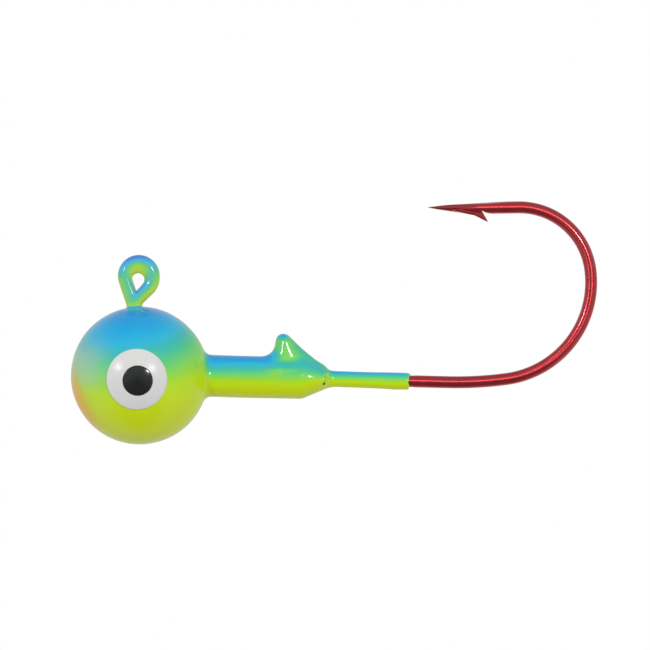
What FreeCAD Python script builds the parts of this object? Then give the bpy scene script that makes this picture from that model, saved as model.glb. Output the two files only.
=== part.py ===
"""Painted ball-head fishing jig: lead cast round a 90-degree jig hook, two film layers, two eyes.

Row frame, millimetres: the origin is the centre of the line-tie hole, whose axis is Y. +X runs
along the hook's shank, from the ball toward the bend. +Z is up, from the shank to the point.
The nose of the lure is at -X, so its left side is at -Y.
"""
import FreeCAD
import Part
import math
import os

# ---- driving dimensions ----
WIRE_D = 0.89            # 2/0 jig hook wire
BALL_D = 10.15           # bare lead ball
COLLAR_D = 2.93          # bare lead collar behind the ball
BASE_FILM = 0.05         # white base coat
COLOUR_FILM = 0.09       # colour coat over it

BALL_X = 0.33            # ball centre
SHANK_Z = -7.20          # shank axis, which runs through the ball centre

# ---- hook: line tie and riser ----
RING_X = 0.04            # centre of the ring that the wire end is bent into
RING_Z = 0.27
RING_R = 1.03            # to the wire's centreline
LEG_SLANT = 20.0         # degrees; the ring's long leg leans toward the riser
FREE_LEG_DROP = 0.18     # short straight in the other side of the ring
FREE_LEG_SLANT = 45.0    # degrees; the free leg then leans back to the riser
FREE_LEG_L = 1.15
RISER_X = -0.25          # axis of the upright wire above and inside the ball
RISER_BLEND_R = 1.50
ELBOW_R = 1.80           # the 90-degree bend inside the ball

# ---- hook: shank, bend and point ----
SHANK_END_X = 23.53      # the straight shank ends and the bend begins
BEND = ((28.70, 8.94), (7.40, 89.66), (5.45, 83.60))   # radius and turn of each arc
POINT_L = 6.80           # straight run from the bend to the tip
GROUND_L = 7.00          # the ground faces have left the wire before this distance from the tip
# ground faces in (s, h), s back from the tip and h above it: apex s and h, then the slopes of the
# top edge, bottom edge, side ridge and half width
GROUND = ((0, 0, 0.116, 0.235, 0.042, 0.160), (-0.654, 0.068, 0.045, 0.166, 0.052, 0.300))
BARB_OUTLINE = ((1.90, -0.25), (3.00, -0.53), (3.57, -0.64), (3.95, -0.82), (4.53, -1.11), (4.06, -0.25))
BARB_PLAN = ((1.70, -0.40), (3.60, -0.34), (4.56, -0.03), (4.56, 0.03), (3.60, 0.34), (1.70, 0.40))
NOTCH_OUTLINE = ((4.05, -0.24), (4.43, -0.47), (5.00, -0.60), (4.90, -1.20), (4.54, -1.13))
TIP_RISE = 0.10          # tip above the wire's axis

# ---- head ----
COLLAR_END_X = 12.43     # the collar's round part ends
SHANK_START_X = 14.73    # its taper ends on the wire
TAPER_END_R = 0.47
NECK_FILLET_R = 0.45     # between ball and collar
# bait keeper: height above the shank axis, front, back and half thickness of each level section
KEEPER = (
    (0.30, 9.56, 14.62, 0.95),
    (1.10, 9.76, 13.92, 0.76),
    (1.70, 10.20, 13.02, 0.66),
    (2.30, 10.58, 12.22, 0.58),
    (2.90, 10.80, 11.56, 0.37),
    (3.17, 10.90, 11.28, 0.18),
)

# ---- films ----
TIE_FILM = 0.065         # the colour coat is thinner on the ring's wire
TIE_HOLE_R = 0.466       # paint leaves a smaller, teardrop hole in the ring
TIE_HOLE_TAIL = (-0.09, -0.87)   # the teardrop's lowest point
TIE_WEB = 0.64           # thickness of the paint that fills the ring round that hole
PAINT_END_X = 20.61      # where the colour coat ends along the shank
BASE_LIP = 0.12          # the base coat shows past it by this much
SHANK_SWELL = 0.04       # the colour coat is thicker where it ends
SWELL_X = 19.93

# ---- eyes ----
EYE_X = 0.15             # centre of the white disc
EYE_Z = -7.53
PUPIL_X = 0.22
PUPIL_Z = -7.63
EYE_D = 4.58
PUPIL_D = 2.29
EYE_FILM = 0.06
PUPIL_FILM = 0.08
EYE_ROUND = 0.03
PUPIL_ROUND = 0.05

WIRE_R = WIRE_D / 2
BALL_R = BALL_D / 2
COLLAR_R = COLLAR_D / 2
FULL_FILM = BASE_FILM + COLOUR_FILM
OUT_X = FreeCAD.Vector(1, 0, 0)
OUT_Y = FreeCAD.Vector(0, 1, 0)
OUT_Z = FreeCAD.Vector(0, 0, 1)


def spot(x, z, y=0.0):
    """Point given in the plane of the hook first."""
    return FreeCAD.Vector(x, y, z)


def toward(degrees):
    """Unit vector in the XZ plane, turned from +X toward +Z."""
    a = math.radians(degrees)
    return spot(math.cos(a), math.sin(a))


def bar(start, heading, steps, radius):
    """Round bar in the XZ plane made of straight runs (length,) and tangent arcs (radius, turn).

    A positive turn is from +X toward +Z. Returns the bar, its end point and its last heading.
    """
    pieces = []
    here = start
    for step in steps:
        if len(step) == 1:
            pieces.append(Part.makeCylinder(radius, step[0], here, toward(heading)))
            here = here + toward(heading) * step[0]
        else:
            bend_r, turn = step
            side = math.copysign(90, turn)
            centre = here + toward(heading + side) * bend_r
            disc = Part.Face(Part.Wire(Part.makeCircle(radius, here, toward(heading))))
            pieces.append(disc.revolve(centre, OUT_Y, -turn))
            here = centre + toward(heading + turn - side) * bend_r
            heading += turn
    return pieces[0].fuse(pieces[1:]).removeSplitter(), here, heading


def ring_point(angle):
    """Point on the ring's centreline, the angle turned from +X toward +Z."""
    return spot(RING_X, RING_Z) + toward(angle) * RING_R


def long_leg(radius):
    """Ring from its top over the front side, then the slanted leg and the riser to the elbow's start."""
    leg_start = ring_point(180 + LEG_SLANT)
    drop = (RISER_X - leg_start.x) / math.sin(math.radians(LEG_SLANT))
    blend = RISER_BLEND_R * math.tan(math.radians(LEG_SLANT / 2))
    corner = leg_start + toward(LEG_SLANT - 90) * drop
    riser = corner.z - blend - (SHANK_Z + ELBOW_R)
    steps = [(RING_R, 90 + LEG_SLANT), (drop - blend,), (RISER_BLEND_R, -LEG_SLANT), (riser,)]
    return bar(ring_point(90), 180, steps, radius)[0]


def free_leg(radius):
    """Ring from its top over the back side, then the free end, which butts on the riser."""
    steps = [(RING_R, -90), (FREE_LEG_DROP,), (RING_R, -FREE_LEG_SLANT), (FREE_LEG_L,)]
    return bar(ring_point(90), 0, steps, radius)[0]


def tie_wire(radius):
    """The whole line tie: ring, both legs and the riser."""
    return long_leg(radius).fuse(free_leg(radius)).removeSplitter()


def beside(place, s, h, y=0.0):
    """Point s back from the tip along the wire, h above the line through the tip, y to the side."""
    tip, along = place
    return tip + toward(along) * s + toward(along + 90) * h + OUT_Y * y


def pyramid(place, start, height, rise, drop, ridge, side):
    """Four flat ground faces that spread from an apex: the slopes of the top, bottom and side edges."""
    reach = GROUND_L - start
    apex = beside(place, start, height)
    top = beside(place, GROUND_L, height + rise * reach)
    low = beside(place, GROUND_L, height - drop * reach)
    near = beside(place, GROUND_L, height - ridge * reach, -side * reach)
    far = beside(place, GROUND_L, height - ridge * reach, side * reach)
    corners = [top, far, low, near]
    walls = [[apex, corners[i - 1], corners[i], apex] for i in range(4)]
    faces = [Part.Face(Part.makePolygon(wall)) for wall in walls + [corners + corners[:1]]]
    return Part.makeSolid(Part.makeShell(faces))


def slab(place, outline, width):
    """Flat outline in (s, h), as thick as the width, centred on the wire."""
    corners = [beside(place, s, h, -width / 2) for s, h in outline]
    return Part.Face(Part.makePolygon(corners + corners[:1])).extrude(OUT_Y * width)


def barb(place):
    """Sliver raised from the inner side of the wire, wide at its root and sharp at its end."""
    plan = [beside(place, s, 1, y) for s, y in BARB_PLAN]
    wedge = Part.Face(Part.makePolygon(plan + plan[:1])).extrude(toward(place[1] + 90) * -3)
    return slab(place, BARB_OUTLINE, 2 * WIRE_D).common(wedge)


def hook():
    """One piece of steel wire from the line tie's free end to the point."""
    elbow = spot(RISER_X, SHANK_Z + ELBOW_R)
    straight = SHANK_END_X - RISER_X - ELBOW_R
    ground_l = GROUND_L - 1
    run = [(ELBOW_R, 90), (straight,)] + list(BEND) + [(POINT_L - ground_l,)]
    round_wire, joint, heading = bar(elbow, -90, run, WIRE_R)
    axis_end = joint + toward(heading) * ground_l
    along = heading - 180
    place = (axis_end + toward(along + 90) * TIP_RISE, along)
    ground = Part.makeCylinder(WIRE_R, ground_l, joint, toward(heading))
    for faces in GROUND:
        ground = ground.common(pyramid(place, *faces))
    wire = round_wire.fuse([ground, tie_wire(WIRE_R)]).removeSplitter()
    return wire.cut(slab(place, NOTCH_OUTLINE, 2 * WIRE_D)).fuse(barb(place))


def keeper(film):
    """Bait keeper: a cast spike with a steep front and a long sloping back, through level ellipses.

    A film widens each level by its thickness and lifts the tip by it.
    """
    tip_height = KEEPER[-1][0]
    levels = []
    for height, front, back, half in KEEPER:
        centre = spot((front + back) / 2, SHANK_Z + height + film * height / tip_height)
        ellipse = Part.Ellipse(centre, (back - front) / 2 + film, half + film)
        levels.append(Part.Wire(ellipse.toShape()))
    return Part.makeLoft(levels, True, False)


def head(film):
    """Ball, collar and keeper, grown on every side by a film."""
    ball_r = BALL_R + film
    collar_r = COLLAR_R + film
    fillet_r = NECK_FILLET_R - film
    reach = math.sqrt((ball_r + fillet_r) ** 2 - (collar_r + fillet_r) ** 2)
    fillet = spot(BALL_X + reach, collar_r + fillet_r)
    touch_ball = spot(BALL_X, 0) + (fillet - spot(BALL_X, 0)) * (ball_r / (ball_r + fillet_r))
    touch_collar = spot(fillet.x, collar_r)
    between = fillet + (touch_ball - fillet + touch_collar - fillet).normalize() * fillet_r
    lift = film / math.cos(math.atan2(COLLAR_R - TAPER_END_R, SHANK_START_X - COLLAR_END_X))
    nose = spot(BALL_X - ball_r, 0)
    crown = spot(BALL_X, ball_r)
    outline = [
        Part.Arc(nose, crown, touch_ball).toShape(),
        Part.Arc(touch_ball, between, touch_collar).toShape(),
        Part.LineSegment(touch_collar, spot(COLLAR_END_X, collar_r)).toShape(),
        Part.LineSegment(spot(COLLAR_END_X, collar_r), spot(SHANK_START_X, TAPER_END_R + lift)).toShape(),
        Part.LineSegment(spot(SHANK_START_X, TAPER_END_R + lift), spot(SHANK_START_X, 0)).toShape(),
        Part.LineSegment(spot(SHANK_START_X, 0), nose).toShape(),
    ]
    turned = Part.Face(Part.Wire(outline)).revolve(spot(0, 0), OUT_X, 360)
    turned.translate(OUT_Z * SHANK_Z)
    behind = Part.makeBox(COLLAR_D, BALL_D, BALL_D, spot(SHANK_START_X, SHANK_Z - BALL_R, -BALL_R))
    return turned.fuse(keeper(film).cut(behind)).removeSplitter()


def tie_web():
    """Paint drawn into the ring and into the crotch between its legs."""
    disc = Part.makeCylinder(RING_R, TIE_WEB, spot(RING_X, RING_Z, -TIE_WEB / 2), OUT_Y)
    back = ring_point(-FREE_LEG_SLANT) - OUT_Z * FREE_LEG_DROP
    crotch = [ring_point(180 + LEG_SLANT), ring_point(0), back, back + toward(-135) * FREE_LEG_L]
    crotch.append(crotch[0])
    lower = Part.Face(Part.makePolygon(crotch)).extrude(OUT_Y * TIE_WEB)
    lower.translate(OUT_Y * (-TIE_WEB / 2))
    return disc.fuse(lower)


def tie_hole():
    """Teardrop hole, cut right through: a round hole and the pointed tail below it."""
    depth = 4 * WIRE_D
    hole = Part.makeCylinder(TIE_HOLE_R, depth, spot(0, 0, -depth / 2), OUT_Y)
    tail = [toward(-134) * TIE_HOLE_R, toward(-46) * TIE_HOLE_R, spot(*TIE_HOLE_TAIL)]
    wedge = Part.Face(Part.makePolygon(tail + tail[:1])).extrude(OUT_Y * depth)
    wedge.translate(OUT_Y * (-depth / 2))
    return hole.fuse(wedge)


def shank_sleeve(film, end_x, swell):
    """Film round the shank from the head to its rounded end, turned in quarters for a finer mesh."""
    start_r = WIRE_R + film
    swell_r = start_r + swell
    round_r = swell_r - WIRE_R / 2
    outline = [
        Part.LineSegment(spot(SHANK_START_X, 0), spot(SHANK_START_X, start_r)).toShape(),
        Part.LineSegment(spot(SHANK_START_X, start_r), spot(SWELL_X, swell_r)).toShape(),
        Part.LineSegment(spot(SWELL_X, swell_r), spot(end_x - round_r, swell_r)).toShape(),
        Part.Arc(spot(end_x - round_r, swell_r),
                 spot(end_x - round_r, swell_r - round_r) + toward(45) * round_r,
                 spot(end_x, swell_r - round_r)).toShape(),
        Part.LineSegment(spot(end_x, swell_r - round_r), spot(end_x, 0)).toShape(),
        Part.LineSegment(spot(end_x, 0), spot(SHANK_START_X, 0)).toShape(),
    ]
    quarter = Part.Face(Part.Wire(outline)).revolve(spot(0, 0), OUT_X, 90)
    turns = [quarter.rotated(spot(0, 0), OUT_X, angle) for angle in (90, 180, 270)]
    sleeve = quarter.fuse(turns)
    sleeve.translate(OUT_Z * SHANK_Z)
    return sleeve


def ball(grow):
    """The painted ball, grown by a height above its surface."""
    return Part.makeSphere(BALL_R + FULL_FILM + grow, spot(BALL_X, SHANK_Z))


def eye_disc(x, z, diameter, inner, outer):
    """Round film on the left side of the painted ball, between two heights above its surface."""
    outline = Part.makeCylinder(diameter / 2, BALL_D, spot(x, z, -BALL_D), OUT_Y)
    return ball(outer).cut(ball(inner)).common(outline)


def rounded(disc, radius):
    """The same film on the left side with its outer rim rounded."""
    rims = [edge for edge in disc.Edges if edge.Closed]
    outer = min(rims, key=lambda edge: edge.BoundBox.YMin)
    return disc.makeFillet(radius, [outer])


def main():
    steel = hook()
    bare = head(0)
    based = head(BASE_FILM)
    painted = head(FULL_FILM)
    tie_base = tie_wire(WIRE_R + BASE_FILM)
    tie_colour = tie_wire(WIRE_R + BASE_FILM + TIE_FILM).fuse(tie_web()).cut(tie_hole())
    sleeve_base = shank_sleeve(BASE_FILM, PAINT_END_X + BASE_LIP, 0)
    sleeve_colour = shank_sleeve(FULL_FILM, PAINT_END_X, SHANK_SWELL)
    white = eye_disc(EYE_X, EYE_Z, EYE_D, 0, EYE_FILM)
    pupil = eye_disc(PUPIL_X, PUPIL_Z, PUPIL_D, EYE_FILM, EYE_FILM + PUPIL_FILM)
    pupil = rounded(pupil, PUPIL_ROUND)
    white = rounded(white, EYE_ROUND)
    mid_plane = FreeCAD.Vector(0, 0, 0)
    pieces = {
        "hook": steel,
        "lead_body": bare.cut(steel),
        "base_coat_head": based.cut(bare).cut(steel),
        "base_coat_line_tie": tie_base.cut(based).cut(steel),
        "base_coat_shank": sleeve_base.cut(steel),
        "colour_coat_head": painted.cut(based).cut(tie_base),
        "colour_coat_line_tie": tie_colour.cut(painted).cut(tie_base),
        "colour_coat_shank": sleeve_colour.cut(sleeve_base).cut(steel),
        "eye_white_left": white,
        "eye_white_right": white.mirror(mid_plane, OUT_Y),
        "pupil_left": pupil,
        "pupil_right": pupil.mirror(mid_plane, OUT_Y),
    }
    os.makedirs("parts", exist_ok=True)
    for name, shape in pieces.items():
        solids = shape.Solids
        print(f"{name:22s} valid {shape.isValid()} solids {len(solids)} volume {shape.Volume:.4f}")
        if len(solids) != 1:
            raise SystemExit(f"{name} should be one solid")
        solids[0].exportStep(f"parts/{name}.step")


main()
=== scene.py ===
"""Looks of the ball jig head: sprayed paint over cast lead, a red steel hook and two painted eyes.

Shapes are worked out in millimetres in the frame of the CAD part and turned into metres when a
mesh is made. The origin is the line-tie hole, +X runs along the shank, +Z is up and the lure's
left side is at -Y. The painted surfaces and the hook's point are zero levels of distance fields,
and the wire, the shank's paint and the eyes are swept sections.
"""

import math

import bpy
import numpy as np
from mathutils import Matrix, Vector


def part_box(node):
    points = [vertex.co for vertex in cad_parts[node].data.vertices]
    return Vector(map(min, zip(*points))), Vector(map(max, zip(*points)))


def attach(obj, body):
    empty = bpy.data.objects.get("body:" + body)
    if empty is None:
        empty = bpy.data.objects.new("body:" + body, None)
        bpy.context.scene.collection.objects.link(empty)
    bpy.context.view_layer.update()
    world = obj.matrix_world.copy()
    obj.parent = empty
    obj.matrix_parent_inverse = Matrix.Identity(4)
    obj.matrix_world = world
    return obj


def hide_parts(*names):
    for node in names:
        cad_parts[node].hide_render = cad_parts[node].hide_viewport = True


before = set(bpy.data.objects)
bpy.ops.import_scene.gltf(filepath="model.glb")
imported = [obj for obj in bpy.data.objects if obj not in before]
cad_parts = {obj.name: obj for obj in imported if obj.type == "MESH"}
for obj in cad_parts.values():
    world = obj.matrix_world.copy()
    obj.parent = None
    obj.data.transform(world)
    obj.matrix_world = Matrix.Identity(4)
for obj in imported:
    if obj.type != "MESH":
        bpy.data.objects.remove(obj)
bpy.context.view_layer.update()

MM = 0.001

# ---- hook, in millimetres; its shank, bend and point run up to 0.1 mm past the CAD part's ----
WIRE_R = 0.445
SHANK_Z = -7.20
RING_X, RING_Z, RING_R = 0.04, 0.27, 1.03
LEG_SLANT = 20.0
FREE_LEG_DROP, FREE_LEG_SLANT, FREE_LEG_L = 0.18, 45.0, 1.15
RISER_X, RISER_BLEND_R, ELBOW_R = -0.25, 1.50, 1.80
SHANK_END_X = 23.58
BEND = ((28.70, 8.94), (7.39, 89.66), (5.42, 83.60))     # radius and turn of each arc
POINT_L = 6.90
LACQUER = 0.014                      # coloured lacquer on the bare end of the hook
LACQUER_FADE = (0.25, 0.50)          # past the end of the paint: where it starts and where it is full

# ---- the hook's point in (s, h): s back from the tip, h above the line through the tip ----
TIP_RISE = 0.10                      # tip above the wire's axis
# ground faces: apex s and h, then the slopes of the top edge, bottom edge, side ridge and half width
GROUND = ((0, 0, 0.116, 0.235, 0.042, 0.160), (-0.654, 0.068, 0.045, 0.166, 0.052, 0.300))
GROUND_ROUND = 0.02
NOTCH = ((4.05, -0.25), (4.43, -0.47), (5.00, -0.60), (6.00, -0.85))
BARB_UNDER = ((1.90, -0.25), (3.00, -0.55), (3.57, -0.67), (3.95, -0.86), (4.53, -1.17), (5.00, -1.42))
BARB_UNDER_LEAN = 0.92               # distance from that slanting line for each unit of height
BARB_TOP = -0.20                     # height of its top, which is buried in the wire
BARB_BACK = ((4.10, -0.25), (0.86, 0.47))                # a point on its end face, and the way it faces
BARB_HALF = ((1.70, 0.40), (3.60, 0.35), (4.70, 0.02))   # s and half width
BARB_ROUND, BARB_FILLET = 0.16, 0.03

# ---- painted head and shank ----
BALL = (0.30, -7.27, 5.215)          # x, z and radius; the paint hangs a little below the casting
NECK_FILLET = 0.50
COLLAR_R = 1.585
COLLAR_END_X = 12.60
COLLAR_CORNERS = (0.02, 0.09)        # rounding of its far edge at the sides, and at the top and bottom
TAPER_END = (14.73, 0.61)            # x and radius
TAPER_WIDENING = 0.27                # the taper is fuller at its sides than below
WIDENING_FADE = (14.15, 14.85)
SLEEVE_R, SLEEVE_SWELL = 0.600, 0.035
SWELL_FADE = (16.5, 20.0)
SLEEVE_FILLET = 0.16
PAINT_LIFT = 0.04                    # the paint sits this much high on the head's part of the shank
LIFT_FADE = (14.7, 19.0)
PAINT_WAVE = 0.012                   # height of the slow waves in the paint
PAINT_WAVES = ((0.9, 0.4), (1.1, 1.0), (1.0, 0.7))       # along X, Y and Z: radians in a millimetre, phase
HEAD_END_X = TAPER_END[0]            # the shank's piece of paint starts here
PAINT_END_X = 20.70
BASE_FILM = 0.05
SKIN = 0.05                          # modelled thickness of the colour film
END_ROUND, END_ROUND_LEAN = 0.208, 0.16                  # run of the rounded end, and how much more on top
END_BLUNT = 0.7                      # below 1, the end is blunter than a quarter circle
END_WAVES = ((0.04, 1, 0.6), (0.03, 3, 1.9), (0.02, 7, 0.0))     # size, waves in a turn and phase
DROOP, DROOP_X, DROOP_SPREAD = 0.030, 19.6, 0.55         # a run of paint under the shank

# ---- keeper ----
KEEPER_X, KEEPER_TOP, KEEPER_ROUND = 11.25, 3.25, 0.35
# level sections: height above the shank axis, then how far each reaches to the front, side and back
KEEPER = (
    (0.00, 1.20, 1.05, 2.20),
    (0.40, 1.52, 1.32, 2.50),
    (0.67, 1.58, 1.41, 2.56),
    (1.00, 1.42, 1.25, 2.35),
    (1.20, 1.27, 1.09, 2.20),
    (1.50, 1.08, 1.055, 1.95),
    (1.80, 0.96, 1.025, 1.64),
    (2.05, 0.87, 1.000, 1.34),
    (2.40, 0.79, 0.965, 0.95),
    (2.80, 0.69, 0.925, 0.58),
    (3.10, 0.59, 0.82, 0.30),
    (3.60, 0.38, 0.50, 0.08),
)
KEEPER_ROWS = (0, 4, 0.02)           # heights that the sections are worked out at: first, limit and step
KEEPER_EASE = 7                      # corners between the sections are eased over this many rows each way
RIDGE = ((11.10, 2.78, 0.46), (12.92, 1.12, 0.60), (13.83, 0.54, 0.62))     # x, height and radius
RIDGE_BLEND, RIDGE_FILLET = 0.12, 0.30
KEEPER_FILLETS, FILLET_FADE = (0.85, 0.30), (10.3, 11.3)         # in front and behind

# ---- painted line tie ----
NECK_Z = -1.95                       # its piece of paint ends here
TIE_R = 0.56
TIE_FILLET = 0.14
LEG_FILLETS, LEG_FADE = (0.02, 0.24), (0.2, 1.2)         # between its legs, at the ring and lower down
WEB_HALF, WEB_ROUND, WEB_FILLET = 0.30, 0.10, 0.34
TIE_HOLE = ((0.0, 0.0), 0.466, (-0.09, -0.83), 0.04)     # round end and radius, tail and radius
HOLE_ROUND = 0.30
TIE_SPANS = ((-1.9, 1.95), (-0.8, 0.8), (NECK_Z, 2.1))   # along X, Y and Z
TIE_REACH = (3.0, 1.5, -3.0)         # past this x, y and depth the tie is too far away to matter

# ---- pinhole and beads of paint at the end of the taper ----
PINHOLE = (14.28, -1.04, -7.56)
# each row is an offset from the pinhole's middle and a radius
PINHOLE_ENDS = ((-0.03, 0.0, -0.08, 0.08), (0.01, 0.0, 0.10, 0.10))
BEADS = ((0.0, -0.04, 0.39, 0.15), (0.17, 0.32, 0.80, 0.14))
PINHOLE_ROUND, BEAD_FILLET = 0.03, 0.06

# ---- eyes ----
EYE_FILM, EYE_EDGE = 0.08, 0.05
PUPIL_FILM, PUPIL_EDGE, PUPIL_DOME = 0.07, 0.07, 0.03
EYE_LEAN = (-0.10, -0.04)            # the enamel is a little thicker toward the nose
EYE_SINK = 0.03                      # each disc reaches this far below the surface it lies on
EYE_CORE = 0.03                      # share of the radius that one flat face closes in the middle
EYE_CREASE = 50                      # degrees; a disc's edges that turn by more are shaded sharp

# ---- mesh spacing ----
HEAD_STEP, TIE_STEP, POINT_STEP = 0.13, 0.06, 0.03
PINHOLE_REACH, PINHOLE_STEP = 0.40, 0.05
TIE_PATH_STEP, HOOK_PATH_STEP = 0.12, 0.13
HEAD_MARGIN = 0.1
ROUND_COUNT = 96                     # points in a turn of the shank's paint and of an eye
SLEEVE_ROWS, LINING_ROWS, EYE_ROWS = 44, 12, 22
EDGE_ANGLES = np.radians(np.arange(10, 91, 10))          # rows of a rounded edge
SLOPE_REACH, LEAST_SLOPE2, LONGEST_MOVE = 0.004, 0.05, 0.1       # for moving points onto a surface
JOINT_S = 6.20                       # the swept wire meets the point this far from the tip
POINT_SPANS = ((-0.06, JOINT_S), (-0.5, 0.5), (-1.2, 0.45))      # along s, y and h
NARROW_FROM, NARROW_L, NARROWEST = -0.05, 2.8, 0.02      # how the point's grid closes in on the tip

# ---- colours, sRGB from 0 to 255 ----
BLUE_OVER_CHARTREUSE = (
    (0.10, (222, 238, 10)),
    (0.35, (208, 236, 14)),
    (0.45, (192, 235, 28)),
    (0.52, (160, 228, 60)),
    (0.59, (124, 221, 102)),
    (0.67, (80, 206, 138)),
    (0.74, (54, 191, 182)),
    (0.80, (40, 187, 222)),
    (0.88, (4, 170, 229)),
    (0.94, (4, 154, 224)),
    (1.00, (14, 124, 220)),
)
# the first is the colour of the painted sheen, a whitish reflection on the nose; the second is the throat's
# orange paint
SHEEN_WHITE, ORANGE_VEIL = (214, 210, 216), (255, 156, 16)
# painted shade for the inside of the pinhole
PINHOLE_PAINTED_SHADE = (40, 48, 26)
# where a foot keeps the blue off: x, z, half width, half height and how much less
SHELTERS = ((11.4, SHANK_Z + 1.35, 1.3, 0.5, 0.12), (RISER_X, -2.1, 1.1, 0.5, 0.22))

# ---- picture ----
FRAME_WIDTH = 49.2                   # millimetres across the picture
PICTURE_CENTRE = (14.22, -3.10)
ROLL = 1.40
DISTANCE = 950.0
FLOOR_Z, FLOOR_HALF = -55.0, 950.0
# light tent: height of the direction looked in, and brightness
TENT = ((-1.0, 0.71), (-0.5, 0.67), (-0.15, 0.63), (0.1, 0.62), (0.4, 0.72), (1.0, 0.51))
DARK_WAY, DARK_PINCH = (0.0, -0.62, -0.78), 0.32         # middle of its dark strip
DARK_SPAN = (0.42, 0.82, 1.0, 0.30)  # from the strip's edge to its middle, and the brightness left
SOFTBOX_DISTANCE, SOFTBOX_SIZE = 450, 50
SOFTBOXES = ((-35.7, 13.7, 52), (21.2, 13.5, 66))        # azimuth, elevation and radiance


# ---- distance fields ----

def length(*parts):
    return np.sqrt(sum(part * part for part in parts))


def join(a, b, soft):
    """Union of two fields with a fillet about as wide as soft."""
    mix = np.clip(0.5 + 0.5 * (b - a) / soft, 0, 1)
    return b + (a - b) * mix - soft * mix * (1 - mix)


def meet(a, b, soft):
    """What two fields share, with the edge rounded."""
    return -join(-a, -b, soft)


def cone(p, a, a_r, b, b_r):
    """Distance to the hull of two balls; p, a and b are lists of coordinates."""
    axis = [v - u for u, v in zip(a, b)]
    size2 = sum(v * v for v in axis)
    shrink = a_r - b_r
    side2 = size2 - shrink * shrink
    out = [q - u for q, u in zip(p, a)]
    along = sum(q * v for q, v in zip(out, axis))
    past = along - size2
    across2 = sum((q * size2 - v * along) ** 2 for q, v in zip(out, axis))
    lean = math.copysign(shrink * shrink, shrink) * across2
    near_b = np.sqrt(across2 + past * past * size2) / size2 - b_r
    near_a = np.sqrt(across2 + along * along * size2) / size2 - a_r
    middle = (np.sqrt(across2 * side2 / size2) + along * shrink) / size2 - a_r
    beyond = np.sign(past) * side2 * past * past * size2 > lean
    before = np.sign(along) * side2 * along * along * size2 < lean
    return np.where(beyond, near_b, np.where(before, near_a, middle))


def ramp(value, low, high):
    """Smooth 0 to 1 as the value goes from low to high."""
    t = np.clip((value - low) / (high - low), 0, 1)
    return t * t * (3 - 2 * t)


def ease(ends, value, low, high):
    """Goes smoothly from the first of two numbers to the second as the value goes from low to high."""
    return ends[0] + (ends[1] - ends[0]) * ramp(value, low, high)


def trace(s, points):
    """An outline's height or width at s, from its corners."""
    return np.interp(s, *zip(*points))


def way(degrees):
    """Unit vector in the XZ plane as x and z."""
    a = math.radians(degrees)
    return np.array([math.cos(a), math.sin(a)])


def turtle(start, heading, steps, spacing):
    """Points and headings in the XZ plane along straight runs (length,) and arcs (radius, turn)."""
    here = np.array(start, float)
    path, headings = [here.copy()], [heading]
    for step in steps:
        if len(step) == 1:
            count = max(1, math.ceil(step[0] / spacing))
            move, turn = step[0] / count, 0.0
        else:
            count = max(2, math.ceil(math.radians(abs(step[1])) * step[0] / spacing))
            turn = step[1] / count
            move = 2 * step[0] * math.sin(math.radians(abs(turn)) / 2)
        for _ in range(count):
            here = here + move * way(heading + turn / 2)
            heading += turn
            path.append(here.copy())
            headings.append(heading)
    return np.array(path), np.array(headings)


def ring_point(angle):
    return np.array([RING_X, RING_Z]) + RING_R * way(angle)


def free_leg():
    """Upper and lower end of the free leg's straight run."""
    top = ring_point(-FREE_LEG_SLANT) - (0, FREE_LEG_DROP)
    return top, top - FREE_LEG_L * way(90 - FREE_LEG_SLANT)


def tie_path(more, spacing):
    """Path from the free leg's end round the ring and down to the elbow, and then more steps."""
    leg = ring_point(180 + LEG_SLANT)
    drop = (RISER_X - leg[0]) / math.sin(math.radians(LEG_SLANT))
    blend = RISER_BLEND_R * math.tan(math.radians(LEG_SLANT / 2))
    corner_z = leg[1] - drop * math.cos(math.radians(LEG_SLANT))
    riser = corner_z - blend - (SHANK_Z + ELBOW_R)
    steps = [(FREE_LEG_L,), (RING_R, FREE_LEG_SLANT), (FREE_LEG_DROP,), (RING_R, 90),
             (RING_R, 90 + LEG_SLANT), (drop - blend,), (RISER_BLEND_R, -LEG_SLANT), (riser,)]
    return turtle(free_leg()[1], 90 - FREE_LEG_SLANT, steps + list(more), spacing)


def chain_gap2(x, z, chain):
    """Squared distance in the XZ plane from a chain of points."""
    near = np.full(x.shape, np.inf)
    for a, b in zip(chain[:-1], chain[1:]):
        run = b - a
        t = np.clip(((x - a[0]) * run[0] + (z - a[1]) * run[1]) / (run @ run), 0, 1)
        near = np.minimum(near, (x - a[0] - t * run[0]) ** 2 + (z - a[1] - t * run[1]) ** 2)
    return near


def web_field(x, y, z):
    """Flat web of paint in the ring and in the crotch between its legs."""
    corners = [ring_point(180 + LEG_SLANT), ring_point(0), *free_leg()]
    crotch = np.full(x.shape, -np.inf)
    for a, b in zip(corners, corners[1:] + corners[:1]):
        run = (b - a) / np.linalg.norm(b - a)
        crotch = np.maximum(crotch, (z - a[1]) * run[0] - (x - a[0]) * run[1])
    disc = length(x - RING_X, z - RING_Z) - RING_R
    return meet(np.minimum(disc, crotch), np.abs(y) - WEB_HALF, WEB_ROUND)


def tie_field(x, y, z):
    """Painted line tie: the bent wire and the web of paint inside it, with its teardrop hole."""
    path, headings = tie_path([], TIE_PATH_STEP)
    crown = int(np.argmax(headings >= 180))
    legs = [np.sqrt(chain_gap2(x, z, leg) + y * y) - TIE_R for leg in (path[:crown + 1], path[crown:])]
    wire = join(*legs, ease(LEG_FILLETS, -z, *LEG_FADE))
    solid = join(wire, web_field(x, y, z), WEB_FILLET)
    return meet(solid, -cone([x, z], *TIE_HOLE), HOLE_ROUND)


def keeper_sections():
    """The keeper's level sections on a fine scale of heights, with the corners between them eased."""
    heights = np.arange(*KEEPER_ROWS)
    window = np.hanning(2 * KEEPER_EASE + 3)[1:-1]
    levels = np.array(KEEPER).T
    rows = [np.interp(np.pad(heights, KEEPER_EASE, "edge"), levels[0], level) for level in levels[1:]]
    return heights, [np.convolve(row, window / window.sum(), "valid") for row in rows]


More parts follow.
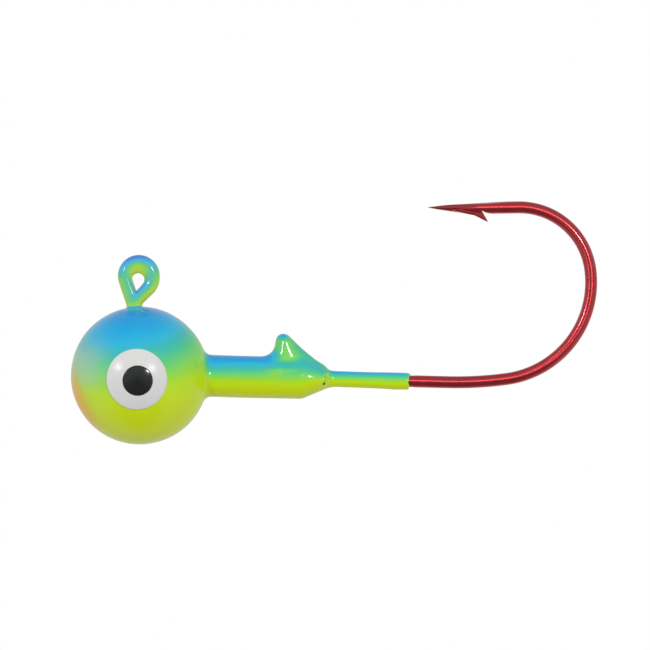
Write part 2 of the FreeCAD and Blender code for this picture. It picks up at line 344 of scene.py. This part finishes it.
def keeper_field(x, y, h):
    """Keeper: a level section is half an ellipse in front and a longer half behind."""
    heights, rows = keeper_sections()
    front, side, back = (np.interp(h, heights, row) for row in rows)
    reach = np.where(x < KEEPER_X, front, back)
    u, v = (x - KEEPER_X) / reach, y / side
    near = length(u, v)
    steep = np.maximum(length(u / reach, v / side), 1e-6)
    spike = meet(near * (near - 1) / steep, h - KEEPER_TOP, KEEPER_ROUND)
    runs = [cone([x, y, h], (a, 0, b), r, (c, 0, d), s)
            for (a, b, r), (c, d, s) in zip(RIDGE[:-1], RIDGE[1:])]
    return np.maximum(join(spike, join(*runs, RIDGE_BLEND), RIDGE_FILLET), -h)


def body_field(x, y, h):
    """Collar, taper, keeper and shank; h is the height above the shank axis."""
    wide = TAPER_WIDENING * np.maximum(x - COLLAR_END_X, 0) * (1 - ramp(x, *WIDENING_FADE))
    rho = length(y / (1 + wide), h)
    run, fall = TAPER_END[0] - COLLAR_END_X, COLLAR_R - TAPER_END[1]
    taper = ((x - TAPER_END[0]) * fall + (rho - TAPER_END[1]) * run) / math.hypot(run, fall)
    upright = np.clip(np.abs(h) / COLLAR_R, 0, 1)
    corner = COLLAR_CORNERS[0] + (COLLAR_CORNERS[1] - COLLAR_CORNERS[0]) * upright
    collar = np.maximum(meet(rho - COLLAR_R, taper, corner), BALL[0] - x)
    sleeve_r = SLEEVE_R + SLEEVE_SWELL * ramp(x, *SWELL_FADE)
    shank = np.maximum(length(y, h) - sleeve_r, BALL[0] - x)
    body = join(collar, shank, SLEEVE_FILLET)
    return join(body, keeper_field(x, y, h), ease(KEEPER_FILLETS, x, *FILLET_FADE))


def head_field(x, y, z):
    """Painted ball, collar, keeper and shank, with the pinhole and the beads of paint."""
    h = z - SHANK_Z - PAINT_LIFT * (1 - ramp(x, *LIFT_FADE))
    ball = length(x - BALL[0], y, z - BALL[1]) - BALL[2]
    painted = join(ball, body_field(x, y, h), NECK_FILLET)
    waves = [np.sin(rate * v + phase) for v, (rate, phase) in zip((x, y, z), PAINT_WAVES)]
    painted = painted + PAINT_WAVE * math.prod(waves)
    u, v, w = (near - middle for near, middle in zip((x, y, z), PINHOLE))
    for bead_x, bead_y, bead_z, r in BEADS:
        painted = join(painted, length(u - bead_x, v - bead_y, w - bead_z) - r, BEAD_FILLET)
    (*low, low_r), (*top, top_r) = PINHOLE_ENDS
    return meet(painted, -cone([u, v, w], low, low_r, top, top_r), PINHOLE_ROUND)


def paint_field(x, y, z):
    """The whole painted surface."""
    painted = head_field(x, y, z)
    far_x, far_y, low = TIE_REACH
    near = (z > low) & (np.abs(x) < far_x) & (np.abs(y) < far_y)
    tie = np.full(x.shape, 1.0)
    if near.any():
        tie[near] = tie_field(x[near], y[near], z[near])
    return join(painted, tie, TIE_FILLET)


def barb_field(s, y, h):
    """Sliver raised from the inner side of the wire, wide at its root and sharp at its end."""
    under = (trace(s, BARB_UNDER) - h) * BARB_UNDER_LEAN
    flanks = np.abs(y) - trace(s, BARB_HALF)
    (at_s, at_h), (way_s, way_h) = BARB_BACK
    back = ((s - at_s) * way_s + (h - at_h) * way_h) / math.hypot(way_s, way_h)
    sliver = meet(meet(under, flanks, BARB_ROUND), np.maximum(back, h - BARB_TOP), GROUND_ROUND)
    return np.maximum(sliver, BARB_UNDER[0][0] - s)


def point_field(s, y, h):
    """The hook's point: s back from the tip, y to the side and h above the line through the tip."""
    steel = length(y, h + TIP_RISE) - WIRE_R - LACQUER
    for start, height, rise, drop, ridge, side in GROUND:
        t, u = s - start, h - height
        lift, sink = rise + ridge, drop - ridge
        upper = ((u + ridge * t) * side - (side * t - np.abs(y)) * lift) / math.hypot(side, lift)
        lower = ((-u - ridge * t) * side - (side * t - np.abs(y)) * sink) / math.hypot(side, sink)
        steel = meet(steel, meet(upper, lower, GROUND_ROUND), GROUND_ROUND)
    notch = np.maximum(h - trace(s, NOTCH), NOTCH[0][0] - s)
    steel = meet(steel, -notch, BARB_FILLET)
    return join(steel, barb_field(s, y, h), BARB_FILLET)


# ---- surface nets ----

def slope(field, p, fixed):
    """The field's gradient at each point, without the directions in which the point is fixed."""
    sides = [field(*(p + d).T) - field(*(p - d).T) for d in np.eye(3) * SLOPE_REACH]
    return np.stack(sides, -1) / (2 * SLOPE_REACH) * ~fixed


def settle(field, p, fixed, rounds):
    """Moves points onto the surface, each along its own slope."""
    for _ in range(rounds):
        g = slope(field, p, fixed)
        size2 = np.maximum((g * g).sum(1), LEAST_SLOPE2)
        p = p - g * np.clip(field(*p.T) / size2, -LONGEST_MOVE, LONGEST_MOVE)[:, None]
    return p


def relax(p, quads, fixed):
    """Moves each point to the middle of its neighbours."""
    a = np.concatenate([quads.ravel(), np.roll(quads, -1, 1).ravel()])
    b = np.concatenate([np.roll(quads, -1, 1).ravel(), quads.ravel()])
    count = np.maximum(np.bincount(a, minlength=len(p)), 1)
    middle = np.stack([np.bincount(a, p[b, i], len(p)) / count for i in range(3)], 1)
    return np.where(fixed, p, middle)


def net(field, axes, warp=None):
    """Quads on a field's surface inside a box, given as three lists of grid positions.

    Where the surface leaves the box it ends exactly half a cell inside the box's face. A warp
    turns the grid's own coordinates into the field's.
    """
    grid = np.stack(np.meshgrid(*axes, indexing="ij"), -1)
    shape = grid.shape[:3]
    flat = grid.reshape(-1, 3)
    flat = warp(flat) if warp else flat
    inside = (field(*flat.T) < 0).reshape(shape)
    flat = flat.reshape(*shape, 3)
    corners = [tuple(slice(i, n - 1 + i) for i, n in zip(c, shape)) for c in np.ndindex(2, 2, 2)]
    count = sum(inside[c].astype(int) for c in corners)
    mixed = (count > 0) & (count < 8)
    ids = np.full(mixed.shape, -1)
    ids[mixed] = np.arange(mixed.sum())
    p = sum(flat[c][mixed] for c in corners) / 8
    cell = np.argwhere(mixed)
    fixed = (cell == 0) | (cell == np.array(mixed.shape) - 1)
    quads = []
    for axis in range(3):
        order = [(axis + i) % 3 for i in range(3)]
        solid, cells = inside.transpose(order), ids.transpose(order)
        low, high = solid[:-1, 1:-1, 1:-1], solid[1:, 1:-1, 1:-1]
        four = [cells[:, :-1, :-1], cells[:, 1:, :-1], cells[:, 1:, 1:], cells[:, :-1, 1:]]
        four = np.stack(four, -1)
        quads += [four[low & ~high], four[~low & high][:, ::-1]]
    quads = np.concatenate(quads)
    p = settle(field, p, fixed, 4)
    for _ in range(3):
        p = settle(field, relax(p, quads, fixed), fixed, 2)
    g = slope(field, p, np.zeros_like(fixed))
    return p, quads, g / np.maximum(np.linalg.norm(g, axis=1), 1e-6)[:, None]


def spaced(low, high, step):
    """Grid positions about a step apart whose end cells have their middles at low and high."""
    count = max(2, round((high - low) / step))
    step = (high - low) / count
    return low - step / 2 + step * np.arange(count + 2)


def crowded(low, high, step, middle, reach, fine):
    """Like spaced, with the cells closing up to a fine step around one place."""
    x = np.linspace(low, high, 4000)
    cells = step - (step - fine) * np.exp(-((x - middle) / reach) ** 4)
    run = np.cumsum((x[1] - x[0]) / cells)
    marks = np.interp((np.arange(round(run[-1])) + 0.5) / round(run[-1]) * run[-1], run, x)
    return np.concatenate([[2 * low - marks[0]], marks, [2 * high - marks[-1]]])


def rim(quads):
    """Edges that only one face uses, in that face's direction."""
    ends = np.stack([quads.ravel(), np.roll(quads, -1, 1).ravel()], 1)
    keys = ends[:, 0].astype(np.int64) * (quads.max() + 1) + ends[:, 1]
    back = ends[:, 1].astype(np.int64) * (quads.max() + 1) + ends[:, 0]
    return ends[~np.isin(keys, back)]


def film(p, quads, normals, thickness):
    """Closed film: a surface, the same surface a thickness below it, and walls round the rims."""
    count = len(p)
    edges = rim(quads)
    walls = np.stack([edges[:, 1], edges[:, 0], edges[:, 0] + count, edges[:, 1] + count], 1)
    points = np.concatenate([p, p - normals * thickness])
    faces = np.concatenate([quads, quads[:, ::-1] + count, walls])
    return points, faces, np.concatenate([normals, -normals])


# ---- swept sections ----

def band(rows, count):
    """Quads between rows of points that each close on themselves."""
    i, j = np.meshgrid(np.arange(rows - 1), np.arange(count), indexing="ij")
    k = (j + 1) % count
    quads = np.stack([i * count + j, i * count + k, (i + 1) * count + k, (i + 1) * count + j], -1)
    return quads.reshape(-1, 4)


# ---- meshes ----

def lay_map(mesh, along, around):
    """UV map named along_wire from each point's place along and angle around the wire."""
    corners = np.empty(len(mesh.loops), int)
    mesh.loops.foreach_get("vertex_index", corners)
    starts = np.empty(len(mesh.polygons), int)
    mesh.polygons.foreach_get("loop_start", starts)
    turn = around[corners]
    highest = np.repeat(np.maximum.reduceat(turn, starts), np.diff(np.append(starts, len(corners))))
    turn = np.where(highest - turn > math.pi, turn + 2 * math.pi, turn)
    layer = mesh.uv_layers.new(name="along_wire")
    layer.data.foreach_set("uv", np.stack([along[corners], turn * WIRE_R], 1).ravel())


def make(name, points, faces, material, nodes, normals=None, sharp=None):
    """One visible piece from points in millimetres. It stands for the CAD nodes, which it hides."""
    mesh = bpy.data.meshes.new(name)
    mesh.from_pydata((np.asarray(points) * MM).tolist(), [], [list(f) for f in faces])
    mesh.validate()
    mesh.shade_smooth()
    if sharp is not None:
        mesh.set_sharp_from_angle(angle=math.radians(sharp))
    if normals is not None:
        mesh.normals_split_custom_set_from_vertices(np.asarray(normals).tolist())
    mesh.materials.append(material)
    piece = bpy.data.objects.new(name, mesh)
    bpy.context.scene.collection.objects.link(piece)
    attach(piece, "root")
    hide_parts(*nodes)
    return piece


# ---- materials ----

class Tree:
    """Short way to write a node tree."""

    def __init__(self, tree):
        self.tree = tree
        self.place = tree.nodes.new("ShaderNodeTexCoord")

    def put(self, socket, value):
        if isinstance(value, bpy.types.NodeSocket):
            self.tree.links.new(value, socket)
        else:
            socket.default_value = value

    def add(self, kind, *values, **settings):
        """A new node with its settings, and values for its first inputs."""
        node = self.tree.nodes.new(kind)
        for name, setting in settings.items():
            setattr(node, name, setting)
        for socket, value in zip(node.inputs, values):
            self.put(socket, value)
        return node

    def math(self, kind, *values):
        return self.add("ShaderNodeMath", *values, operation=kind).outputs[0]

    def size(self, value):
        """The value without its sign."""
        return self.math("ABSOLUTE", value)

    def dot(self, a, b):
        return self.add("ShaderNodeVectorMath", a, b, operation="DOT_PRODUCT").outputs["Value"]

    def apart(self, a, b):
        return self.add("ShaderNodeVectorMath", a, b, operation="DISTANCE").outputs["Value"]

    def noise(self, per_mm, detail=2.0, rough=0.5):
        """Noise of the given number of cells per millimetre, from 0 to 1."""
        mapping = self.add("ShaderNodeMapping", self.place.outputs["Object"])
        self.put(mapping.inputs["Scale"], [1 / MM] * 3)
        node = self.add("ShaderNodeTexNoise", mapping.outputs["Vector"])
        self.put(node.inputs["Scale"], per_mm)
        self.put(node.inputs["Detail"], detail)
        self.put(node.inputs["Roughness"], rough)
        return node.outputs["Fac"]

    def sway(self, source, amount):
        """A noise from 0 to 1 turned into one from -amount/2 to amount/2."""
        return self.math("MULTIPLY_ADD", source, amount, -amount / 2)

    def span(self, value, low, high, to_low=0.0, to_high=1.0, smooth=False):
        kind = "SMOOTHSTEP" if smooth else "LINEAR"
        node = self.add("ShaderNodeMapRange", value, low, high, to_low, to_high, interpolation_type=kind)
        return node.outputs[0]

    def colours(self, value, stops):
        """Colour ramp: stops are (position, linear colour)."""
        node = self.add("ShaderNodeValToRGB", value)
        bars = node.color_ramp.elements
        while len(bars) < len(stops):
            bars.new(0.5)
        for bar, (position, colour) in zip(bars, stops):
            bar.position = position
            bar.color = colour
        return node.outputs["Color"]

    def mix(self, amount, a, b, kind="MIX"):
        node = self.add("ShaderNodeMix", amount, data_type="RGBA", blend_type=kind)
        self.put(node.inputs[6], a)
        self.put(node.inputs[7], b)
        return node.outputs[2]


class Material(Tree):
    """Node tree of a new material."""

    def __init__(self, name):
        self.material = bpy.data.materials.new(name)
        self.material.use_nodes = True
        super().__init__(self.material.node_tree)
        self.shader = self.tree.nodes["Principled BSDF"]

    def set(self, **values):
        """Values of the shader's own sockets, by name with _ for a space."""
        for key, value in values.items():
            self.put(self.shader.inputs[key.replace("_", " ")], value)

    def bump(self, *layers):
        """Bump from (height, depth in millimetres) layers, on the shader's normal."""
        normal = None
        for height, depth in layers:
            node = self.tree.nodes.new("ShaderNodeBump")
            self.put(node.inputs["Strength"], 1.0)
            self.put(node.inputs["Distance"], depth * MM)
            self.put(node.inputs["Height"], height)
            if normal:
                self.put(node.inputs["Normal"], normal)
            normal = node.outputs["Normal"]
        self.put(self.shader.inputs["Normal"], normal)


def linear(colour):
    """sRGB from 0 to 255 as linear RGBA."""
    parts = [c / 255 for c in colour]
    return [c / 12.92 if c <= 0.04045 else ((c + 0.055) / 1.055) ** 2.4 for c in parts] + [1.0]


def blue_spray(n, fog, along, up, high):
    """How much of the spray from above lands: about -1 on what faces down and 1 on what faces up."""
    facing = n.place.outputs["Normal"]
    flank = n.size(n.dot(facing, (0.0, 1.0, 0.0)))
    above = n.math("MULTIPLY_ADD", flank, 0.373, n.dot(facing, (-0.158, 0.0, 1.0)))
    thin, full = n.span(along, 3.0, 18.0, 1.0, 0.68), n.span(along, 12.0, 20.0, 1.0, 0.84)
    above = n.math("MULTIPLY_ADD", above, n.span(above, 0.90, 1.04, thin, full, True), fog)
    for x, z, wide, tall, less in SHELTERS:
        beside = n.span(n.size(n.math("SUBTRACT", along, x)), 0.25 * wide, wide, less, 0.0, True)
        foot = n.span(n.size(n.math("SUBTRACT", up, z)), 0.15 * tall, tall, 1.0, 0.0, True)
        above = n.math("SUBTRACT", above, n.math("MULTIPLY", beside, foot))
    return n.math("MULTIPLY_ADD", high, 0.20, above)


def nose_sheen_and_orange(n, fog, along, high):
    """Shares of the painted sheen, a whitish reflection painted on the nose, and of the orange paint; only
    a trace of them reaches the line tie.
    """
    facing = n.place.outputs["Normal"]
    on_ball = n.span(along, 2.0, 5.0, 1.0, 0.0, True)
    orange = n.math("ADD", n.dot(facing, (-0.90, 0.0, -0.436)), fog)
    orange = n.math("MULTIPLY", n.span(orange, 0.74, 1.03, 0.0, 0.84, True), on_ball)
    orange = n.math("MULTIPLY", orange, n.span(high, 0.0, 1.0, 1.0, 0.25))
    level = n.size(n.math("SUBTRACT", n.dot(facing, (0.0, 0.0, 1.0)), 0.12))
    level = n.math("MULTIPLY", n.span(level, 0.10, 0.46, 1.0, 0.12, True), n.span(high, 0.0, 1.0, 1.0, 0.0))
    # painted sheen: a whitish reflection painted where the nose faces forward and lies about level
    painted_sheen = n.span(n.math("ADD", n.dot(facing, (-1.0, 0.0, 0.0)), fog), 0.30, 0.90, 0.0, 0.42, True)
    painted_sheen = n.math("MULTIPLY", n.math("MULTIPLY", painted_sheen, level), on_ball)
    painted_sheen = n.math("MULTIPLY", n.math("MULTIPLY_ADD", high, 0.08, painted_sheen), n.span(orange, 0.0, 0.6, 1.0, 0.3))
    return painted_sheen, orange


def sprayed_paint():
    """Chartreuse all over, blue sprayed from above, orange paint and a painted sheen at the nose, and
    painted shade in the pinhole.
    """
    n = Material("sprayed_paint")
    place = n.place.outputs["Object"]
    along, up = n.dot(place, (1 / MM, 0.0, 0.0)), n.dot(place, (0.0, 0.0, 1 / MM))
    high = n.span(up, -3.0, -1.5, 0.0, 1.0, True)
    fog = n.math("ADD", n.sway(n.noise(0.9, 3.0, 0.6), 0.09), n.sway(n.noise(9.0, 2.0, 0.7), 0.06))
    stops = [(position, linear(colour)) for position, colour in BLUE_OVER_CHARTREUSE]
    colour = n.colours(n.span(blue_spray(n, fog, along, up, high), -0.8, 1.2), stops)
    painted_sheen, orange = nose_sheen_and_orange(n, fog, along, high)
    # the painted sheen goes over the sprayed colours, then the orange paint over both
    colour = n.mix(painted_sheen, colour, linear(SHEEN_WHITE))
    colour = n.mix(orange, colour, linear(ORANGE_VEIL))
    # painted shade inside the pinhole, darkest at its middle
    pit = n.apart(place, [v * MM for v in PINHOLE])
    colour = n.mix(n.span(pit, 0.10 * MM, 0.17 * MM, 0.85, 0.0, True), colour, linear(PINHOLE_PAINTED_SHADE))
    n.set(Base_Color=colour, Roughness=n.span(n.noise(3.0), 0.3, 0.7, 0.10, 0.14), IOR=1.47)
    n.bump((n.noise(1.1, 1.0), 0.003), (n.noise(4.0, 1.0), 0.0003))
    return n.material


def white_enamel():
    n = Material("white_enamel")
    colour = n.mix(n.noise(1.2, 3.0), linear((219, 219, 218)), linear((228, 228, 227)))
    n.set(Base_Color=colour, Roughness=n.span(n.noise(4.0), 0.3, 0.7, 0.20, 0.26), IOR=1.34)
    n.bump((n.noise(1.1, 1.0), 0.005), (n.noise(12.0, 2.0), 0.0003))
    return n.material


def black_enamel():
    n = Material("black_enamel")
    colour = n.mix(n.noise(3.0, 3.0), linear((20, 22, 24)), linear((30, 33, 34)))
    n.set(Base_Color=colour, Roughness=n.span(n.noise(5.0), 0.3, 0.7, 0.08, 0.16), IOR=1.5)
    n.bump((n.noise(2.5, 1.0), 0.005))
    return n.material


def base_enamel():
    n = Material("base_enamel")
    colour = n.mix(n.noise(5.0, 3.0), linear((196, 214, 180)), linear((216, 228, 204)))
    n.set(Base_Color=colour, Roughness=n.span(n.noise(6.0), 0.3, 0.7, 0.25, 0.40), IOR=1.5)
    n.bump((n.noise(6.0, 2.0), 0.004))
    return n.material


def cast_lead():
    n = Material("cast_lead")
    grain = n.noise(2.5, 4.0, 0.65)
    colour = n.mix(n.span(grain, 0.3, 0.7), linear((112, 114, 120)), linear((150, 152, 158)))
    n.set(Base_Color=colour, Metallic=1.0)
    n.set(Roughness=n.span(n.noise(7.0, 3.0), 0.3, 0.7, 0.40, 0.62))
    n.bump((grain, 0.02), (n.noise(18.0, 3.0), 0.004))
    return n.material


def red_steel():
    """Bright drawn wire under clear red lacquer; its gloss is drawn out along the wire."""
    n = Material("red_steel")
    tone = n.noise(1.4, 3.0, 0.6)
    colour = n.mix(n.span(tone, 0.3, 0.7), linear((186, 46, 54)), linear((199, 57, 64)))
    fine = n.noise(16.0, 3.0, 0.7)
    n.set(Base_Color=colour, Metallic=1.0, Roughness=n.span(fine, 0.3, 0.7, 0.26, 0.30))
    n.set(Anisotropic=1.0, Coat_Weight=0.8, Coat_Roughness=0.13)
    grain = n.add("ShaderNodeTangent", direction_type="UV_MAP", uv_map="along_wire")
    n.set(Tangent=grain.outputs[0])
    n.bump((n.noise(2.2, 2.0), 0.0015), (fine, 0.0001))
    return n.material


PAINT = sprayed_paint()
WHITE = white_enamel()
BLACK = black_enamel()
BASE = base_enamel()
LEAD = cast_lead()
STEEL = red_steel()


# ---- painted pieces ----

def add_paint(name, points, faces, normals, node):
    make(name, points, faces, PAINT, [node], normals)


def paint_head():
    reach = BALL[2] + HEAD_MARGIN
    lows, highs = (BALL[0] - reach, -reach, BALL[1] - reach), (HEAD_END_X, reach, NECK_Z)
    axes = [crowded(low, high, HEAD_STEP, middle, PINHOLE_REACH, PINHOLE_STEP)
            for low, high, middle in zip(lows, highs, PINHOLE)]
    parts = film(*net(paint_field, axes), SKIN)
    add_paint("paint_head", *parts, "colour_coat_head")


def paint_line_tie():
    axes = [spaced(low, high, TIE_STEP) for low, high in TIE_SPANS]
    parts = film(*net(paint_field, axes), SKIN)
    add_paint("paint_line_tie", *parts, "colour_coat_line_tie")


def shank_turn(x, r, turn):
    """Points of one turn round the shank axis."""
    return np.stack([x + 0 * turn, r * np.cos(turn), SHANK_Z + r * np.sin(turn)], -1)


def sleeve_normals(points):
    """Normals of rows of points that each close on themselves."""
    down = np.roll(points, -1, 0) - np.roll(points, 1, 0)
    down[0] = points[1] - points[0]
    down[-1] = points[-1] - points[-2]
    normals = np.cross(down, np.roll(points, -1, 1) - np.roll(points, 1, 1))
    return normals / np.maximum(np.linalg.norm(normals, axis=2), 1e-9)[..., None]


def paint_shank():
    """Sleeve of paint with a thick, ragged end. Each row of points is one turn round the shank."""
    turn = np.linspace(0, 2 * math.pi, ROUND_COUNT, endpoint=False)
    end = PAINT_END_X + sum(size * np.sin(waves * turn + phase) for size, waves, phase in END_WAVES)
    rounding = END_ROUND + END_ROUND_LEAN * np.sin(turn)
    inner = WIRE_R + BASE_FILM
    rows = [(HEAD_END_X + u * (end - rounding - HEAD_END_X), 1.0) for u in np.linspace(0, 1, SLEEVE_ROWS)]
    rows += [(end - rounding * (1 - math.sin(a)), math.cos(a) ** END_BLUNT) for a in EDGE_ANGLES]
    points = []
    for x, share in rows:
        r = np.full(turn.shape, SLEEVE_R)
        for _ in range(6):
            r = r - head_field(*shank_turn(x, r, turn).T)
        droop = DROOP * np.exp(-((x - DROOP_X) / DROOP_SPREAD) ** 2) * (1 - np.sin(turn)) / 2
        points.append(shank_turn(x, inner + (r + droop - inner) * share, turn))
    for u in np.linspace(1, 0, LINING_ROWS):
        points.append(shank_turn(HEAD_END_X + u * (end - HEAD_END_X), inner, turn))
    points = np.array(points)
    quads = band(len(points) + 1, ROUND_COUNT) % (len(points) * ROUND_COUNT)
    add_paint("paint_shank", points.reshape(-1, 3), quads[:, ::-1], sleeve_normals(points).reshape(-1, 3),
              "colour_coat_shank")


# ---- hook ----

SIDEWAYS = np.array([0.0, 1.0, 0.0])


def toward(degrees):
    """Unit vectors in the XZ plane as x, y and z, one for each heading."""
    a = np.radians(degrees)
    return np.stack([np.cos(a), np.zeros_like(a), np.sin(a)], -1)


def narrow(grid):
    """The point's grid, with its sides closed in on the tip."""
    width = np.clip((grid[:, 0] - NARROW_FROM) / NARROW_L, NARROWEST, 1)
    return grid * np.stack([np.ones_like(width), width, width], -1)


def ground_point(foot, along, up):
    """The point's mesh in its own (s, y, h), its faces, and its points and normals in place.

    The foot is where the wire's axis meets it, along is the way back from the tip.
    """
    axes = [spaced(low, high, POINT_STEP) for low, high in POINT_SPANS]
    local, quads, normals = net(point_field, axes, narrow)
    turned = np.stack([along, SIDEWAYS, up])
    tip = foot - along * JOINT_S + up * TIP_RISE
    return local, quads, tip + local @ turned, normals @ turned


def wire_tube(centres, up, angles):
    """Turns of points round the centres, with the way that each point faces."""
    out = np.cos(angles)[None, :, None] * SIDEWAYS + np.sin(angles)[None, :, None] * up[:, None, :]
    bare = ramp(centres[:, 0] - PAINT_END_X, *LACQUER_FADE)
    return centres[:, None, :] + out * (WIRE_R + LACQUER * bare)[:, None, None], out


def hook():
    """The ground point and, from its foot, one wire swept back to the line tie's free end."""
    run = [(ELBOW_R, 90), (SHANK_END_X - RISER_X - ELBOW_R,), *BEND, (POINT_L - JOINT_S,)]
    path, headings = (part[::-1] for part in tie_path(run, HOOK_PATH_STEP))
    centres = np.stack([path[:, 0], 0 * path[:, 0], path[:, 1]], -1)
    along, up = toward(headings + 180), toward(headings - 90)
    local, quads, points, normals = ground_point(centres[0], along[0], up[0])

    # the tube starts from the point's open rim and keeps the angles of its points
    around = np.arctan2(local[:, 2] + TIP_RISE, local[:, 1])
    joint = np.flatnonzero(local[:, 0] > JOINT_S - 1e-6)
    joint = joint[np.argsort(around[joint])]
    tube, out = wire_tube(centres[1:], up[1:], around[joint])
    rows, count = tube.shape[:2]
    table = np.concatenate([joint, len(points) + np.arange(rows * count)])
    quads = np.concatenate([quads, table[band(rows + 1, count)]])
    points = np.concatenate([points, tube.reshape(-1, 3), centres[-1:]])
    normals = np.concatenate([normals, out.reshape(-1, 3), along[-1:]])
    last = table[-count:]
    cap = [(a, b, len(points) - 1) for a, b in zip(last, np.roll(last, -1))]
    wire = make("hook_wire", points, quads.tolist() + cap, STEEL, ["hook"], normals)

    travelled = JOINT_S + np.cumsum(np.linalg.norm(np.diff(path, axis=0), axis=1))
    lay_map(wire.data, np.concatenate([local[:, 0], np.repeat(travelled, count), travelled[-1:]]),
            np.concatenate([around, np.tile(around[joint], rows), [0.0]]))


# ---- eyes ----

def dome(x, z, radius):
    """Distance out from the middle plane to a ball of that radius round the painted ball's centre."""
    return np.sqrt(radius ** 2 - (x - BALL[0]) ** 2 - (z - BALL[1]) ** 2)


def eye_top(x, z, inside, white):
    """Distance out from the middle plane to the white's surface, or to the pupil's."""
    height = dome(x - EYE_LEAN[0], z - EYE_LEAN[1], BALL[2]) + EYE_FILM
    return height if white else height + PUPIL_FILM + PUPIL_DOME * (1 - inside * inside)


def eye(side, name, white):
    """Round spot of thick enamel on the ball, with a rounded edge; side is -1 left or 1 right."""
    node = f"{name}_{'left' if side < 0 else 'right'}"
    low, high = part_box(node)
    cx, cz = (low.x + high.x) / 2 / MM, (low.z + high.z) / 2 / MM
    radius = (high.x - low.x) / 2 / MM
    edge = EYE_EDGE if white else PUPIL_EDGE
    turn = np.linspace(0, 2 * math.pi, ROUND_COUNT, endpoint=False)
    rows = [(r, 0.0) for r in np.linspace(EYE_CORE, 1, EYE_ROWS) * (radius - edge)]
    rows += [(radius - edge + edge * math.sin(a), edge * (1 - math.cos(a))) for a in EDGE_ANGLES]
    points = []
    for r, drop in rows:
        x, z = cx + r * np.cos(turn), cz + r * np.sin(turn)
        points.append(np.stack([x, side * (eye_top(x, z, r / radius, white) - drop), z], -1))
    under = BALL[2] - EYE_SINK if white else BALL[2] + EYE_FILM - EYE_SINK
    for share in (1.0, 0.5, EYE_CORE):
        x, z = cx + radius * share * np.cos(turn), cz + radius * share * np.sin(turn)
        points.append(np.stack([x, side * dome(x, z, under), z], -1))
    points = np.array(points)
    faces = band(len(points), ROUND_COUNT)
    faces = faces if side > 0 else faces[:, ::-1]
    first_turn = list(range(ROUND_COUNT))
    ends = [first_turn, [(len(points) - 1) * ROUND_COUNT + i for i in first_turn]]
    ends[0 if side > 0 else 1].reverse()
    make(f"{node}_disc", points.reshape(-1, 3), faces.tolist() + ends, WHITE if white else BLACK,
         [node], sharp=EYE_CREASE)


paint_head()
paint_line_tie()
paint_shank()
hook()
for side in (-1, 1):
    eye(side, "eye_white", True)
    eye(side, "pupil", False)

for kept in ("base_coat_head", "base_coat_line_tie", "base_coat_shank", "lead_body"):
    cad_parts[kept].data.materials.clear()
    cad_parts[kept].data.materials.append(LEAD if kept == "lead_body" else BASE)


# ---- studio ----

def pale_floor():
    n = Material("pale_floor")
    colour = n.mix(n.noise(0.02, 3.0), linear((238, 238, 237)), linear((246, 246, 245)))
    n.set(Base_Color=colour, Roughness=0.8)
    return n.material


def floor():
    """Seen by the camera only, so that it neither lights the object nor shades it from below."""
    mesh = bpy.data.meshes.new("floor")
    half, z = FLOOR_HALF * MM, FLOOR_Z * MM
    corners = [(-half, -half, z), (half, -half, z), (half, half, z), (-half, half, z)]
    mesh.from_pydata(corners, [], [(0, 1, 2, 3)])
    mesh.materials.append(pale_floor())
    plane = bpy.data.objects.new("floor", mesh)
    bpy.context.scene.collection.objects.link(plane)
    for kind in ("diffuse", "glossy", "transmission", "shadow"):
        setattr(plane, f"visible_{kind}", False)


def softbox(azimuth, elevation, radiance):
    """Square light, azimuth from the camera's side toward +X, aimed at the object's middle."""
    a, e = math.radians(azimuth), math.radians(elevation)
    way_out = Vector((math.sin(a) * math.cos(e), -math.cos(a) * math.cos(e), math.sin(e)))
    middle = Vector((PICTURE_CENTRE[0], 0, PICTURE_CENTRE[1]))
    lamp = bpy.data.lights.new("softbox", "AREA")
    lamp.shape = "SQUARE"
    lamp.size = SOFTBOX_SIZE * MM
    lamp.energy = radiance * math.pi * lamp.size ** 2
    box = bpy.data.objects.new("softbox", lamp)
    box.location = (middle + way_out * SOFTBOX_DISTANCE) * MM
    box.rotation_mode = "QUATERNION"
    box.rotation_quaternion = way_out.to_track_quat("Z", "Y")
    box.visible_camera = False
    bpy.context.scene.collection.objects.link(box)


def surround():
    """Light tent with a dark strip from the camera down to below the object; the camera sees white."""
    world = bpy.data.worlds.new("surround")
    world.use_nodes = True
    world.node_tree.nodes.clear()
    n = Tree(world.node_tree)
    looked = n.place.outputs["Generated"]
    stops = [((height + 1) / 2, (level, level, level, 1)) for height, level in TENT]
    tent = n.colours(n.span(n.dot(looked, (0, 0, 1)), -1, 1), stops)
    aside = n.size(n.dot(looked, (1, 0, 0)))
    strip = n.math("MULTIPLY_ADD", aside, -DARK_PINCH, n.dot(looked, Vector(DARK_WAY).normalized()))
    lit = n.mix(1.0, tent, n.span(strip, *DARK_SPAN, True), "MULTIPLY")
    seen = n.add("ShaderNodeLightPath").outputs["Is Camera Ray"]
    glow = n.add("ShaderNodeBackground", n.mix(seen, lit, (1, 1, 1, 1)))
    n.add("ShaderNodeOutputWorld", glow.outputs[0])
    bpy.context.scene.world = world


def camera():
    """Long lens square to the lure's left side, turned a little about its own axis."""
    data = bpy.data.cameras.new("camera")
    data.sensor_width = 36.0
    data.lens = data.sensor_width * DISTANCE / FRAME_WIDTH
    data.clip_start, data.clip_end = 0.01, 20.0
    eyepiece = bpy.data.objects.new("camera", data)
    a = math.radians(ROLL)
    right, up, back = (math.cos(a), 0, math.sin(a)), (-math.sin(a), 0, math.cos(a)), (0, -1, 0)
    turn = Matrix([right, up, back]).transposed().to_4x4()
    spot = Vector((PICTURE_CENTRE[0], -DISTANCE, PICTURE_CENTRE[1])) * MM
    eyepiece.matrix_world = Matrix.Translation(spot) @ turn
    bpy.context.scene.collection.objects.link(eyepiece)
    bpy.context.scene.camera = eyepiece


floor()
surround()
for place in SOFTBOXES:
    softbox(*place)
camera()
bpy.context.scene.view_settings.view_transform = "Standard"
